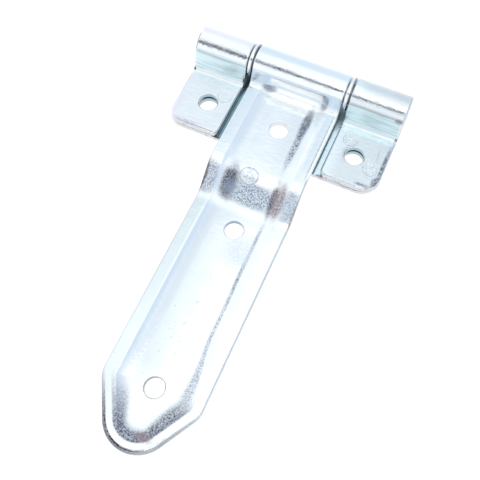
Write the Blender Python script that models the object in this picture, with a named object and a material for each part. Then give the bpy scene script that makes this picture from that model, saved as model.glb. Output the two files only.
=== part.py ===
"""Trailer door strap hinge in zinc plated pressed steel.

A folded base bracket carries the pin in two outer knuckles. A long pressed strap turns on the
pin between two thin washers. The strap is cranked down past the front of the bracket, and it
has a shallow recessed pan between raised rims.

Frame: the origin lies on the bracket's mounting face, straight below the middle of the pin.
+X runs along the pin, +Z points away from the mounting face and the strap lies towards -Y.
Everything is in metres.
"""
import math

import bmesh
import bpy

# Sheet, pin and clearances
sheet = 0.0030
pin_diameter = 0.0100
pin_clearance = 0.0003
layer_gap = 0.0003
barrel_length = 0.1080
pin_setback = 0.0005
pin_chamfer = 0.0008
pin_height = 0.0138
web_slope = math.radians(72.3)

# Washers between the knuckles
washer_thickness = 0.0020
washer_play = 0.00045
washer_chamfer = 0.0003

# Base bracket, with distances measured from the pin's axis
base_reach = 0.0425
base_hole_reach = 0.0270
base_hole_spacing = 0.0768
base_hole_diameter = 0.0097
base_throat_back = 0.0015
base_rear_inner_radius = 0.0030
base_web_bend_radius = 0.0022
base_outer_corner_radius = 0.0070
base_inner_corner_radius = 0.0018
window_diameter = 0.0140
notch_diameter = 0.0024

# Spot welds, each as a side (-1 left, 1 right), an inset from the knuckle's inner end
# and a distance in front of the pin's axis
weld_spots = (
    (-1, 0.0057, 0.0209),
    (1, 0.0072, 0.0196),
    (1, 0.0211, 0.0313),
)
weld_nugget_diameter = 0.0060
weld_mark_diameter = 0.0076
weld_mark_depth = 0.00015

# Strap, with distances measured from the pin's axis
strap_reach = 0.1900
strap_width = 0.0470
strap_hole_reaches = (0.0282, 0.0806)
strap_tip_hole_setback = 0.0287
strap_hole_diameter = 0.0093
strap_bend_radius = 0.0022
strap_edge_round = 0.0008
curl_end_angle = math.radians(-120.0)
rim_width = 0.0060
pan_depth = 0.0025
pan_wall_run = 0.0085
pan_end_run = 0.0064
pan_end_crease = 0.5
crank_reach = 0.0632
crank_drop = 0.0111
crank_slope = math.radians(38.5)
crank_bend_radius = 0.0110
tip_taper = math.radians(30.0)
tip_nose_radius = 0.0155
tip_corner_radius = 0.0100
tip_least_radius = 0.0008
tip_lead_in = 0.0005

# Fineness of the round parts
arc_step = math.radians(7.5)
hole_sides = 36
pin_sides = 48
pan_wall_steps = 7

# Worked out from the sizes above
knuckle_inner_radius = pin_diameter / 2 + pin_clearance
knuckle_radius = knuckle_inner_radius + sheet
wing_top = 2 * sheet + layer_gap
strap_half_width = strap_width / 2
washer_inner_x = strap_half_width + washer_play
tab_inner_x = washer_inner_x + washer_thickness + washer_play
tab_outer_x = barrel_length / 2
rim_height = 2 * sheet + layer_gap + pan_depth
pan_wall = min(pan_wall_run, tip_nose_radius - rim_width - tip_least_radius)
pan_floor_inset = rim_width + pan_wall


def clear_scene():
    for old in list(bpy.data.objects):
        bpy.data.objects.remove(old, do_unlink=True)


def zinc(name, colour, roughness):
    material = bpy.data.materials.new(name)
    material.use_nodes = True
    shader = material.node_tree.nodes["Principled BSDF"]
    shader.inputs["Base Color"].default_value = (*colour, 1.0)
    shader.inputs["Metallic"].default_value = 1.0
    shader.inputs["Roughness"].default_value = roughness
    material.diffuse_color = (*colour, 1.0)
    return material


def add_object(name, bm, material=None, location=(0.0, 0.0, 0.0)):
    """Turn a bmesh into a named object with its faces pointing out."""
    bmesh.ops.recalc_face_normals(bm, faces=bm.faces)
    mesh = bpy.data.meshes.new(name)
    bm.to_mesh(mesh)
    bm.free()
    piece = bpy.data.objects.new(name, mesh)
    piece.location = location
    bpy.context.scene.collection.objects.link(piece)
    if material:
        mesh.materials.append(material)
        mesh.shade_smooth()
        mesh.set_sharp_from_angle(angle=math.radians(25.0))
    return piece


def add_rods(name, rods):
    """Make one guide object of upright round rods, each as centre, diameter, foot and head."""
    bm = bmesh.new()
    for (x, y), diameter, foot, head in rods:
        made = bmesh.ops.create_cone(
            bm,
            cap_ends=True,
            segments=hole_sides,
            radius1=diameter / 2,
            radius2=diameter / 2,
            depth=head - foot,
        )
        bmesh.ops.translate(bm, verts=made["verts"], vec=(x, y, (foot + head) / 2))
    guide = add_object(name, bm)
    guide.hide_render = True
    guide.display_type = "WIRE"
    return guide


def combine(piece, guide, operation):
    modifier = piece.modifiers.new(guide.name, "BOOLEAN")
    modifier.operation = operation
    modifier.solver = "EXACT"
    modifier.object = guide


def walk(start, heading, moves):
    """Follow lines and arcs in the YZ plane.

    A line is (length, 0) and an arc is (length, turn), where a positive turn is to the left.
    Returns stations as (y, z, heading), a list for each move, with its first point left out.
    """
    y, z = start
    runs = [[(y, z, heading)]]
    for length, turn in moves:
        steps = max(1, math.ceil(abs(turn) / arc_step))
        chord = length / steps
        if turn:
            radius = length / abs(turn)
            chord = 2 * radius * math.sin(abs(turn) / steps / 2)
        run = []
        for _ in range(steps):
            middle = heading + turn / steps / 2
            y += chord * math.cos(middle)
            z += chord * math.sin(middle)
            heading += turn / steps
            run.append((y, z, heading))
        runs.append(run)
    return runs


def arc(radius, turn):
    return radius * abs(turn), turn


def line(length, parts=1):
    return [(length / parts, 0.0)] * parts


def offset(station, distance):
    """Move a station to the left of its heading."""
    y, z, heading = station
    return y - distance * math.sin(heading), z + distance * math.cos(heading)


def web_length(face_height, bend_radius):
    """Straight length of a web, from the knuckle's circle to the bend at a face below it."""
    fall = pin_height + knuckle_radius * math.cos(web_slope) - face_height
    return fall / math.sin(web_slope) - bend_radius * math.tan(web_slope / 2)


def web_foot_reach(face_height, bend_radius):
    """Distance in front of the pin at which the face below a web becomes flat."""
    slope_length = web_length(face_height, bend_radius)
    bend = bend_radius * math.tan(web_slope / 2)
    side = knuckle_radius * math.sin(web_slope)
    return side + (slope_length + bend) * math.cos(web_slope) + bend


def base_stations():
    """Outer face of the folded sheet, from the plate's front edge round the pin to the wing."""
    rear_radius = base_rear_inner_radius + sheet
    over_pin = math.pi / 2 + web_slope
    wing_length = base_reach - web_foot_reach(wing_top, base_web_bend_radius)
    moves = [
        (base_reach + base_throat_back, 0.0),
        (knuckle_radius - rear_radius - base_throat_back, 0.0),
        arc(rear_radius, math.pi / 2),
        (pin_height - rear_radius, 0.0),
        arc(knuckle_radius, over_pin),
        (web_length(wing_top, base_web_bend_radius), 0.0),
        arc(base_web_bend_radius, -web_slope),
        (wing_length, 0.0),
    ]
    return [station for run in walk((-base_reach, 0.0), 0.0, moves) for station in run]


def round_corners(bm, x_places, top, radius):
    """Round the upright front edges that stand at the given X places, in one sheet layer."""
    found = []
    for edge in bm.edges:
        low, high = sorted(edge.verts, key=lambda vert: vert.co.z)
        upright = high.co.z - low.co.z > sheet / 2
        at_front = all(abs(vert.co.y + base_reach) < 1e-6 for vert in edge.verts)
        at_place = any(all(abs(vert.co.x - x) < 1e-6 for vert in edge.verts) for x in x_places)
        if upright and at_front and at_place and abs(high.co.z - top) < 1e-6:
            found.append(edge)
    bmesh.ops.bevel(bm, geom=found, offset=radius, segments=6, profile=0.5, affect="EDGES")


def make_base_bracket(material):
    """Fold one sheet back over the pin into two knuckles with double wings."""
    stations = base_stations()
    outer = [offset(station, 0.0) for station in stations]
    inner = [offset(station, sheet) for station in stations]
    bm = bmesh.new()
    rows = {}
    for x in (-tab_outer_x, -tab_inner_x, tab_inner_x, tab_outer_x):
        row_outer = [bm.verts.new((x, y, z)) for y, z in outer]
        row_inner = [bm.verts.new((x, y, z)) for y, z in inner]
        rows[x] = (row_outer, row_inner)

    def join_rows(x_from, x_to, last):
        """Sweep the sheet's section between two X places, up to a station."""
        outline_from = rows[x_from][0][: last + 1] + rows[x_from][1][last::-1]
        outline_to = rows[x_to][0][: last + 1] + rows[x_to][1][last::-1]
        for index in range(len(outline_from)):
            bm.faces.new((
                outline_from[index - 1],
                outline_from[index],
                outline_to[index],
                outline_to[index - 1],
            ))

    def cap_row(x, first):
        row_outer, row_inner = rows[x]
        for index in range(first, len(row_outer) - 1):
            bm.faces.new((
                row_outer[index],
                row_outer[index + 1],
                row_inner[index + 1],
                row_inner[index],
            ))

    last_station = len(stations) - 1
    join_rows(-tab_outer_x, -tab_inner_x, last_station)
    join_rows(tab_inner_x, tab_outer_x, last_station)
    join_rows(-tab_inner_x, tab_inner_x, 1)
    for side in (-1, 1):
        cap_row(side * tab_outer_x, 0)
        cap_row(side * tab_inner_x, 1)
    bmesh.ops.recalc_face_normals(bm, faces=bm.faces)
    outer_places = (-tab_outer_x, tab_outer_x)
    inner_places = (-tab_inner_x, tab_inner_x)
    round_corners(bm, outer_places, sheet, base_outer_corner_radius)
    round_corners(bm, outer_places, wing_top, base_outer_corner_radius)
    round_corners(bm, inner_places, wing_top, base_inner_corner_radius)
    bracket = add_object("base_bracket", bm, material)
    combine(bracket, weld_nuggets(), "UNION")
    combine(bracket, bracket_cutters(), "DIFFERENCE")
    return bracket


def weld_place(side, inset, reach):
    return side * (tab_inner_x + inset), -reach


def weld_nuggets():
    """Welds that tie the two layers of each wing together across the seam."""
    bite = sheet / 10
    return add_rods("weld_nuggets", [
        (weld_place(*spot), weld_nugget_diameter, sheet - bite, sheet + layer_gap + bite)
        for spot in weld_spots
    ])


def bracket_cutters():
    """Bolt holes, window under the strap's first hole, bend relief notches and weld marks."""
    below = -sheet
    above = wing_top + sheet
    bend_y = -web_foot_reach(wing_top, base_web_bend_radius)
    rods = [((0.0, -strap_hole_reaches[0]), window_diameter, below, sheet + layer_gap / 2)]
    for side in (-1, 1):
        rods.append(((side * base_hole_spacing / 2, -base_hole_reach), base_hole_diameter, below, above))
        rods.append(((side * tab_outer_x, bend_y), notch_diameter, sheet + layer_gap / 2, above))
    for spot in weld_spots:
        rods.append((weld_place(*spot), weld_mark_diameter, wing_top - weld_mark_depth, above))
    return add_rods("bracket_cutters", rods)


def strap_moves():
    """Top face of the strap's rims, from the end of the tip back to the curl's free edge."""
    convex = crank_bend_radius + sheet / 2
    concave = crank_bend_radius - sheet / 2
    bend_share = math.tan(crank_slope / 2)
    half_run = crank_drop / math.tan(crank_slope) / 2
    slope_length = crank_drop / math.sin(crank_slope) - (convex + concave) * bend_share
    tip_reach = strap_reach - tip_corner_back()
    lower_flat = tip_reach - crank_reach - half_run - concave * bend_share
    foot_reach = web_foot_reach(rim_height, strap_bend_radius)
    upper_flat = crank_reach - half_run - convex * bend_share - foot_reach
    return [
        (lower_flat, 0.0),
        arc(concave, crank_slope),
        (slope_length, 0.0),
        arc(convex, -crank_slope),
        (upper_flat, 0.0),
        arc(strap_bend_radius, web_slope),
        *line(web_length(rim_height, strap_bend_radius), pan_wall_steps),
        arc(knuckle_radius, curl_end_angle - math.pi / 2 - web_slope),
    ]


def tip_corner_point():
    """Distance from the tip's end back to where the side and the taper would meet in a point."""
    across = strap_half_width * math.cos(tip_taper) - tip_nose_radius
    return tip_nose_radius + across / math.sin(tip_taper)


def tip_corner_back():
    """Distance from the tip's end back to the last straight station, behind all its corners."""
    widest = max(tip_corner_radius, pan_floor_inset + tip_least_radius)
    return tip_corner_point() + widest * math.tan(tip_taper / 2) + tip_lead_in


def tip_outline(inset):
    """One half of the tip's outline, at an inset from its edge, as (x, distance from the end)."""
    corner = max(tip_corner_radius - inset, tip_least_radius)
    corner_start = tip_corner_point() + (inset + corner) * math.tan(tip_taper / 2)
    points = []
    corner_steps = math.ceil(tip_taper / arc_step)
    for step in range(corner_steps + 1):
        angle = tip_taper * step / corner_steps
        x = strap_half_width - inset - corner + corner * math.cos(angle)
        points.append((x, corner_start - corner * math.sin(angle)))
    sweep = math.pi / 2 - tip_taper
    nose_steps = math.ceil(sweep / arc_step)
    for step in range(nose_steps):
        angle = tip_taper + sweep * step / nose_steps
        x = (tip_nose_radius - inset) * math.cos(angle)
        points.append((x, tip_nose_radius - (tip_nose_radius - inset) * math.sin(angle)))
    return points


def pan_side_fall(inset):
    """Share of the pan's depth at an inset from the strap's edge: crisp rim and soft foot."""
    share = min(max((inset - rim_width) / pan_wall, 0.0), 1.0)
    return 1 - (1 - share) ** 2


def pan_end_fall(distance):
    """Share of the pan's depth at a distance down the web from the knuckle."""
    share = min(max(distance / pan_end_run, 0.0), 1.0)
    rounded = (1 - math.cos(math.pi * share)) / 2
    return pan_end_crease * share + (1 - pan_end_crease) * rounded


def under_pin_room(distance):
    """How far the web's hidden face may be pressed in before it would reach the pin."""
    if distance >= knuckle_inner_radius:
        return pan_depth
    return knuckle_inner_radius - math.sqrt(knuckle_inner_radius ** 2 - distance ** 2)


def strap_sections():
    """Stations of the strap from the curl's free edge to the corners of its tip.

    Each is a path station and its distance down from the knuckle, negative on the knuckle.
    """
    start = (-strap_reach + tip_corner_back(), rim_height - crank_drop - pin_height)
    moves = strap_moves()
    runs = walk(start, 0.0, moves)
    lengths = [0.0]
    for length, turn in moves:
        lengths.append(lengths[-1] + length)
    web_top = lengths[-2]
    sections = []
    for number, run in enumerate(runs):
        for place, station in enumerate(run, start=1):
            travelled = lengths[number]
            if number:
                gone = lengths[number] - lengths[number - 1]
                travelled = lengths[number - 1] + gone * place / len(run)
            sections.append((station, web_top - travelled))
    return sections[::-1]


def make_strap_leaf(material):
    """Press one sheet into a rimmed pan, crank it and curl its end round the pin.

    Rings of points run round the strap at fixed insets from its edge. The last ring is the
    foot of the pan's wall, and straight rungs close the floor between its two sides.
    """
    insets = [0.0, strap_edge_round, rim_width]
    insets += [rim_width + pan_wall * (step + 1) / pan_wall_steps for step in range(pan_wall_steps)]
    sections = strap_sections()
    tip_height = sections[-1][0][1]
    bm = bmesh.new()

    def half_ring(inset, side):
        """Top and under points from the curl to the end of the tip, on one side."""
        top = []
        under = []
        edge_drop = max(strap_edge_round - inset, 0.0)
        for station, distance in sections:
            side_share = pan_side_fall(inset)
            fall = pan_depth * side_share * pan_end_fall(distance)
            hidden_fall = min(fall, under_pin_room(max(distance, 0.0)))
            x = side * (strap_half_width - inset)
            top.append(bm.verts.new((x, *offset(station, -fall - edge_drop))))
            under.append(bm.verts.new((x, *offset(station, -hidden_fall - sheet))))
        fall = pan_depth * pan_side_fall(inset)
        for x, back in tip_outline(inset):
            y = -strap_reach + back
            top.append(bm.verts.new((side * x, y, tip_height - fall - edge_drop)))
            under.append(bm.verts.new((side * x, y, tip_height - fall - sheet)))
        return top, under, fall + edge_drop, fall

    rings = []
    for inset in insets:
        left_top, left_under, top_fall, under_fall = half_ring(inset, -1)
        right_top, right_under, _, _ = half_ring(inset, 1)
        y = -strap_reach + inset
        end_top = bm.verts.new((0.0, y, tip_height - top_fall))
        end_under = bm.verts.new((0.0, y, tip_height - under_fall - sheet))
        rings.append((
            left_top + [end_top] + right_top[::-1],
            left_under + [end_under] + right_under[::-1],
        ))

    for layer in (0, 1):
        for outer_ring, inner_ring in zip(rings, rings[1:]):
            for index in range(len(outer_ring[layer]) - 1):
                bm.faces.new((
                    outer_ring[layer][index],
                    outer_ring[layer][index + 1],
                    inner_ring[layer][index + 1],
                    inner_ring[layer][index],
                ))
        floor = rings[-1][layer]
        middle = len(floor) // 2
        for index in range(middle - 1):
            bm.faces.new((floor[index], floor[index + 1], floor[-index - 2], floor[-index - 1]))
        bm.faces.new((floor[middle - 1], floor[middle], floor[middle + 1]))
    edge_top, edge_under = rings[0]
    for index in range(len(edge_top) - 1):
        bm.faces.new((
            edge_top[index],
            edge_top[index + 1],
            edge_under[index + 1],
            edge_under[index],
        ))
    ends = [(top[0], under[0]) for top, under in rings]
    ends += [(top[-1], under[-1]) for top, under in rings[::-1]]
    for (top_a, under_a), (top_b, under_b) in zip(ends, ends[1:]):
        bm.faces.new((top_a, top_b, under_b, under_a))

    strap = add_object("strap_leaf", bm, material, location=(0.0, 0.0, pin_height))
    lowest = rim_height - crank_drop - pan_depth - 2 * sheet
    combine(strap, add_rods("strap_hole_cutters", [
        ((0.0, -reach), strap_hole_diameter, lowest, rim_height + sheet)
        for reach in (*strap_hole_reaches, strap_reach - strap_tip_hole_setback)
    ]), "DIFFERENCE")
    return strap


def turned(profile):
    """Turn a closed profile of (x, radius) points round the pin's axis."""
    bm = bmesh.new()
    hoops = []
    for step in range(pin_sides):
        angle = 2 * math.pi * step / pin_sides
        hoops.append([
            bm.verts.new((x, radius * math.cos(angle), radius * math.sin(angle)))
            for x, radius in profile
        ])
    for step, hoop in enumerate(hoops):
        previous = hoops[step - 1]
        for index in range(len(profile)):
            bm.faces.new((previous[index - 1], hoop[index - 1], hoop[index], previous[index]))
    return bm


def make_washer(name, side, material):
    bore = pin_diameter / 2 + pin_clearance
    cut = washer_chamfer
    near = side * washer_inner_x
    far = side * (washer_inner_x + washer_thickness)
    profile = [
        (near, bore),
        (near, knuckle_radius - cut),
        (near + side * cut, knuckle_radius),
        (far - side * cut, knuckle_radius),
        (far, knuckle_radius - cut),
        (far, bore),
    ]
    return add_object(name, turned(profile), material, location=(0.0, 0.0, pin_height))


def make_pin(material):
    end = tab_outer_x - pin_setback
    radius = pin_diameter / 2
    bm = bmesh.new()
    bmesh.ops.create_cone(
        bm,
        cap_ends=True,
        segments=pin_sides,
        radius1=radius,
        radius2=radius,
        depth=2 * end,
    )
    rims = [edge for edge in bm.edges if abs(edge.verts[0].co.z - edge.verts[1].co.z) < 1e-7]
    bmesh.ops.bevel(bm, geom=rims, offset=pin_chamfer, segments=1, affect="EDGES")
    pin = add_object("hinge_pin", bm, material, location=(0.0, 0.0, pin_height))
    pin.rotation_euler = (0.0, math.pi / 2, 0.0)
    return pin


clear_scene()
make_base_bracket(zinc("bracket_zinc", (0.74, 0.79, 0.84), 0.30))
make_strap_leaf(zinc("strap_zinc", (0.78, 0.83, 0.88), 0.26))
make_pin(zinc("pin_steel", (0.60, 0.62, 0.65), 0.35))
washer_zinc = zinc("washer_zinc", (0.80, 0.82, 0.84), 0.22)
make_washer("washer_left", -1, washer_zinc)
make_washer("washer_right", 1, washer_zinc)
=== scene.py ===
"""Studio scene of the trailer door strap hinge, dressed over its CAD model.

Everything is in metres in the CAD model's frame: the pin runs along X above the origin, the
bracket's mounting face is at z = 0, and the closed strap lies towards -Y.
"""
import math

import bmesh
import bpy
from mathutils import Matrix, Vector
from mathutils.geometry import intersect_point_line


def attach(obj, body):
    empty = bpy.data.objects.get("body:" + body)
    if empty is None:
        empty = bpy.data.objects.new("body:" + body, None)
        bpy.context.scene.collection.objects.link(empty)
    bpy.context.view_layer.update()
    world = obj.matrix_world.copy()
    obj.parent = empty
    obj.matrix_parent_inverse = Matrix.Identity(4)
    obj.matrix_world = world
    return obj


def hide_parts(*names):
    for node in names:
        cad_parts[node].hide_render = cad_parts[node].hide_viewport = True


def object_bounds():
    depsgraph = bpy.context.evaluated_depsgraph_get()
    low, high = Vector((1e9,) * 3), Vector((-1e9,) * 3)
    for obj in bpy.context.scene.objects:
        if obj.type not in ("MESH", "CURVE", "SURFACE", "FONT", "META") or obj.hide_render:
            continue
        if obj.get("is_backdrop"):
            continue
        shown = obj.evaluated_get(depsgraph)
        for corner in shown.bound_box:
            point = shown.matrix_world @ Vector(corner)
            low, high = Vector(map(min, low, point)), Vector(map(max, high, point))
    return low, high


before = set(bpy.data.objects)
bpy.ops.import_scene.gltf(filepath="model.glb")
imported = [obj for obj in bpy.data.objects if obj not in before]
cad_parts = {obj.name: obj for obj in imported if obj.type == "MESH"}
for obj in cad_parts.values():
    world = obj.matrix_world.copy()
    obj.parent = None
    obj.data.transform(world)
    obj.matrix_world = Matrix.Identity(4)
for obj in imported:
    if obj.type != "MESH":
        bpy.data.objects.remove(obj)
cad_low, cad_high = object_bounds()


# The camera stands in front of the strap's tip, to its right, and looks steeply down on it.
# Its place, turn and lens come from the corners, holes and edges measured in the photograph.
camera_place = Vector((0.06014, -0.19527, 0.27244))
camera_turn = math.radians(26.505)
camera_dip = math.radians(65.894)
camera_roll = math.radians(-2.226)
camera_lens = 48.94

forward = Vector((
    -math.sin(camera_turn) * math.cos(camera_dip),
    math.cos(camera_turn) * math.cos(camera_dip),
    -math.sin(camera_dip),
))
level_right = forward.cross(Vector((0.0, 0.0, 1.0))).normalized()
level_up = level_right.cross(forward)
right = level_right * math.cos(camera_roll) + level_up * math.sin(camera_roll)
up = level_up * math.cos(camera_roll) - level_right * math.sin(camera_roll)


def add_object(name, data):
    thing = bpy.data.objects.new(name, data)
    bpy.context.scene.collection.objects.link(thing)
    return thing


camera_data = bpy.data.cameras.new("camera")
camera_data.lens = camera_lens
camera_data.sensor_width = 36.0
camera_data.clip_start = 0.01
camera = add_object("camera", camera_data)
camera_axes = Matrix((right, up, -forward)).transposed().to_4x4()
camera.matrix_world = Matrix.Translation(camera_place) @ camera_axes
bpy.context.scene.camera = camera
bpy.context.scene.view_settings.view_transform = "Standard"


# A white light tent stands round the hinge. Zinc shows nothing but what stands round it, so
# the tent has its grey seams, its blue back wall and the dim gap that the camera looks through.
# Each patch is an azimuth (0 in front, 90 to the right) and an elevation with half widths.
tent_white = (1.18, 1.18, 1.18)
tent_patches = (
    # azimuth, half width, elevation, half height, softness, colour
    (177.0, 46.0, 28.0, 30.0, 14.0, (0.90, 0.96, 1.03)),
    (115.0, 30.0, 30.0, 26.0, 14.0, (0.88, 0.95, 1.05)),
    (-14.0, 34.0, 50.0, 8.0, 5.0, (0.05, 0.05, 0.09)),
    (110.0, 60.0, 2.0, 7.0, 6.0, (0.30, 0.33, 0.38)),
)

world = bpy.data.worlds.new("light_tent")
world.use_nodes = True
bpy.context.scene.world = world


def add_node(tree, kind, inputs=(), **settings):
    """Add a node, give its settings, and link or set its inputs by place or name."""
    node = tree.nodes.new(kind)
    for name, value in settings.items():
        setattr(node, name, value)
    for socket, value in dict(inputs).items():
        if isinstance(value, bpy.types.NodeSocket):
            tree.links.new(value, node.inputs[socket])
        else:
            node.inputs[socket].default_value = value
    return node


def add_math(tree, operation, *values):
    return add_node(tree, "ShaderNodeMath", enumerate(values), operation=operation).outputs[0]


def add_fade(tree, value, start, end, low=1.0, high=0.0):
    """Go smoothly from low to high while the value goes from start to end."""
    inputs = {"Value": value, 1: start, 2: end, 3: low, 4: high}
    node = add_node(tree, "ShaderNodeMapRange", inputs, interpolation_type="SMOOTHSTEP")
    return node.outputs[0]


def add_mix(tree, share, first, second):
    """Mix two colours by a share."""
    node = add_node(tree, "ShaderNodeMix", data_type="RGBA")
    for place, value in ((0, share), (6, first), (7, second)):
        if isinstance(value, bpy.types.NodeSocket):
            tree.links.new(value, node.inputs[place])
        elif place:
            node.inputs[place].default_value = (*value, 1.0)
        else:
            node.inputs[place].default_value = value
    return node.outputs[2]


tent = world.node_tree
tent.nodes.clear()
direction = add_node(tent, "ShaderNodeTexCoord").outputs["Generated"]
way = add_node(tent, "ShaderNodeSeparateXYZ", {0: direction}).outputs
azimuth = add_math(tent, "ARCTAN2", way[0], add_math(tent, "MULTIPLY", way[1], -1.0))
azimuth = add_math(tent, "DEGREES", azimuth)
elevation = add_math(tent, "DEGREES", add_math(tent, "ARCSINE", way[2]))
tent_colour = tent_white
for place, half_width, height, half_height, softness, colour in tent_patches:
    across = add_math(tent, "WRAP", add_math(tent, "SUBTRACT", azimuth, place), 180.0, -180.0)
    across = add_math(tent, "ABSOLUTE", across)
    upward = add_math(tent, "ABSOLUTE", add_math(tent, "SUBTRACT", elevation, height))
    share = add_math(
        tent,
        "MULTIPLY",
        add_fade(tent, across, half_width - softness, half_width + softness),
        add_fade(tent, upward, half_height - softness / 2, half_height + softness / 2),
    )
    tent_colour = add_mix(tent, share, tent_colour, colour)


def seen_directly(tree):
    rays = add_node(tree, "ShaderNodeLightPath").outputs
    return add_math(tree, "MAXIMUM", rays["Is Camera Ray"], rays["Is Transmission Ray"])


reflected = add_node(tent, "ShaderNodeBackground", {"Color": tent_colour, "Strength": 1.0})
plain = add_node(tent, "ShaderNodeBackground", {"Color": (1.0, 1.0, 1.0, 1.0), "Strength": 1.0})
backing = add_node(tent, "ShaderNodeMixShader", {
    0: seen_directly(tent),
    1: reflected.outputs[0],
    2: plain.outputs[0],
})
add_node(tent, "ShaderNodeOutputWorld", {0: backing.outputs[0]})


# The floor is a white sheet just below the strap. It is lit to full white, and keeps a trace
# of the hinge's shadow.
floor_size = 3.0
floor_gap = 0.0004
floor_height = cad_low[2] - floor_gap
floor_own_white = 0.985
floor_seen_grey = (0.12, 0.12, 0.12, 1.0)
floor_lit_grey = (0.80, 0.80, 0.80, 1.0)

floor_mesh = bpy.data.meshes.new("floor")
half_floor = floor_size / 2
floor_mesh.from_pydata([
    (-half_floor, -half_floor, floor_height),
    (half_floor, -half_floor, floor_height),
    (half_floor, half_floor, floor_height),
    (-half_floor, half_floor, floor_height),
], [], [(0, 1, 2, 3)])
floor = add_object("floor", floor_mesh)
sheet_white = bpy.data.materials.new("sheet_white")
sheet_white.use_nodes = True
sheet_nodes = sheet_white.node_tree
sheet_nodes.nodes.clear()
lit = add_node(sheet_nodes, "ShaderNodeBsdfDiffuse", {"Color": floor_seen_grey})
own = add_node(sheet_nodes, "ShaderNodeEmission", {
    "Color": (1.0, 1.0, 1.0, 1.0),
    "Strength": floor_own_white,
})
both = add_node(sheet_nodes, "ShaderNodeAddShader", {0: lit.outputs[0], 1: own.outputs[0]})
plain_floor = add_node(sheet_nodes, "ShaderNodeBsdfDiffuse", {"Color": floor_lit_grey})
mirrored = add_node(sheet_nodes, "ShaderNodeLightPath").outputs["Is Glossy Ray"]
seen_share = add_math(sheet_nodes, "MAXIMUM", seen_directly(sheet_nodes), mirrored)
floor_mix = add_node(sheet_nodes, "ShaderNodeMixShader", {
    0: seen_share,
    1: plain_floor.outputs[0],
    2: both.outputs[0],
})
add_node(sheet_nodes, "ShaderNodeOutputMaterial", {0: floor_mix.outputs[0]})
floor_mesh.materials.append(sheet_white)
floor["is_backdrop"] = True


# Two soft lamps hang in the tent's roof. The rear one whitens the lower half of the strap, and
# the front one lays a white band along the right knuckle.
lamps = (
    # name, place, width, depth, energy
    ("rear_lamp", (-0.22, 0.12, 0.85), 0.34, 0.34, 0.05),
    ("front_lamp", (0.14, -0.34, 0.85), 0.34, 0.50, 0.8),
)
for lamp_name, lamp_place, lamp_width, lamp_depth, lamp_energy in lamps:
    lamp_data = bpy.data.lights.new(lamp_name, "AREA")
    lamp_data.shape = "RECTANGLE"
    lamp_data.size = lamp_width
    lamp_data.size_y = lamp_depth
    lamp_data.energy = lamp_energy
    add_object(lamp_name, lamp_data).location = lamp_place


# The base bracket is one blank of 3 mm sheet. It is folded back over the pin into a knuckle
# with a slanted web on each side, and its wings lie on the lower plate, where they are spot
# welded. It is plated with zinc after folding.
sheet = 0.0030
layer_gap = 0.0003
pin_height = 0.0138
pin_diameter = 0.0100
pin_clearance = 0.0003
knuckle_radius = pin_diameter / 2 + pin_clearance + sheet
web_slope = math.radians(72.3)
wing_top = 2 * sheet + layer_gap
bracket_reach = 0.0425
bracket_half_length = 0.0540
bracket_inner_x = 0.0264
bracket_throat = 0.0015
bracket_rear_radius = 0.0060
bracket_bend_radius = 0.0022
bracket_hole = (0.0384, 0.0270, 0.0097)
window = (0.0, 0.0282, 0.0140)
wing_left_corner = 0.0070
wing_right_corner = 0.0095
wing_inner_corner = 0.0032
sheet_edge_round = 0.00030
sheet_edge_roll = 0.0011
bend_notch = 0.0012
weld_places = ((-0.0321, -0.0209), (0.0336, -0.0196), (0.0475, -0.0313))
weld_radius = 0.0038
weld_dip = 0.00012
weld_flat = 0.78
weld_rise = 0.95
bracket_colour = (0.81, 0.875, 0.91)
# Painted shade: the bracket grows darker towards its right.
bracket_right_shade = (0.68, 0.76, 0.80)
cloud_shade = 0.955
haze_roughness = 0.24
arc_step = math.radians(3.0)
smooth_angle = math.radians(38.0)
cut_angle = math.radians(60.0)
corner_steps = 12
hole_sides = 64
punch_round = 0.00025
touching = 1e-6


def walk(y, z, heading, moves):
    """Follow lines (length, 0) and arcs (length, turn) in the YZ plane to (y, z, heading)."""
    stations = [(y, z, heading)]
    for length, turn in moves:
        count = max(1, math.ceil(abs(turn) / arc_step))
        chord = length / count
        if turn:
            chord = 2 * length / abs(turn) * math.sin(abs(turn) / count / 2)
        for _ in range(count):
            y += chord * math.cos(heading + turn / count / 2)
            z += chord * math.sin(heading + turn / count / 2)
            heading += turn / count
            stations.append((y, z, heading))
    return stations


def aside(station, distance):
    y, z, heading = station
    return y - distance * math.sin(heading), z + distance * math.cos(heading)


def web_run(face_height, bend_radius):
    """Length of a web from the knuckle to the bend at a face, and the reach where it ends."""
    fall = pin_height + knuckle_radius * math.cos(web_slope) - face_height
    bend = bend_radius * math.tan(web_slope / 2)
    length = fall / math.sin(web_slope) - bend
    reach = knuckle_radius * math.sin(web_slope) + (length + bend) * math.cos(web_slope) + bend
    return length, reach


def add_piece(name, bm, material):
    bmesh.ops.recalc_face_normals(bm, faces=bm.faces)
    mesh = bpy.data.meshes.new(name)
    bm.to_mesh(mesh)
    bm.free()
    piece = add_object(name, mesh)
    if material:
        mesh.materials.append(material)
    return piece


def round_edges(bm, edges, radius, segments):
    bmesh.ops.bevel(
        bm, geom=edges, offset=radius, segments=segments, profile=0.5, affect="EDGES",
    )


def add_cutter(name, cuts):
    """Turn upright cutters, each as x, y and a list of (radius, height) from foot to head."""
    bm = bmesh.new()
    for x, y, outline in cuts:
        hoops = []
        for radius, height in outline:
            hoops.append([
                bm.verts.new((
                    x + radius * math.cos(2 * math.pi * side / hole_sides),
                    y + radius * math.sin(2 * math.pi * side / hole_sides),
                    height,
                ))
                for side in range(hole_sides)
            ])
        for lower, upper in zip(hoops, hoops[1:]):
            for side in range(hole_sides):
                bm.faces.new((lower[side - 1], lower[side], upper[side], upper[side - 1]))
        bm.faces.new(hoops[0])
        bm.faces.new(hoops[-1])
    return add_piece(name, bm, None)


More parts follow.
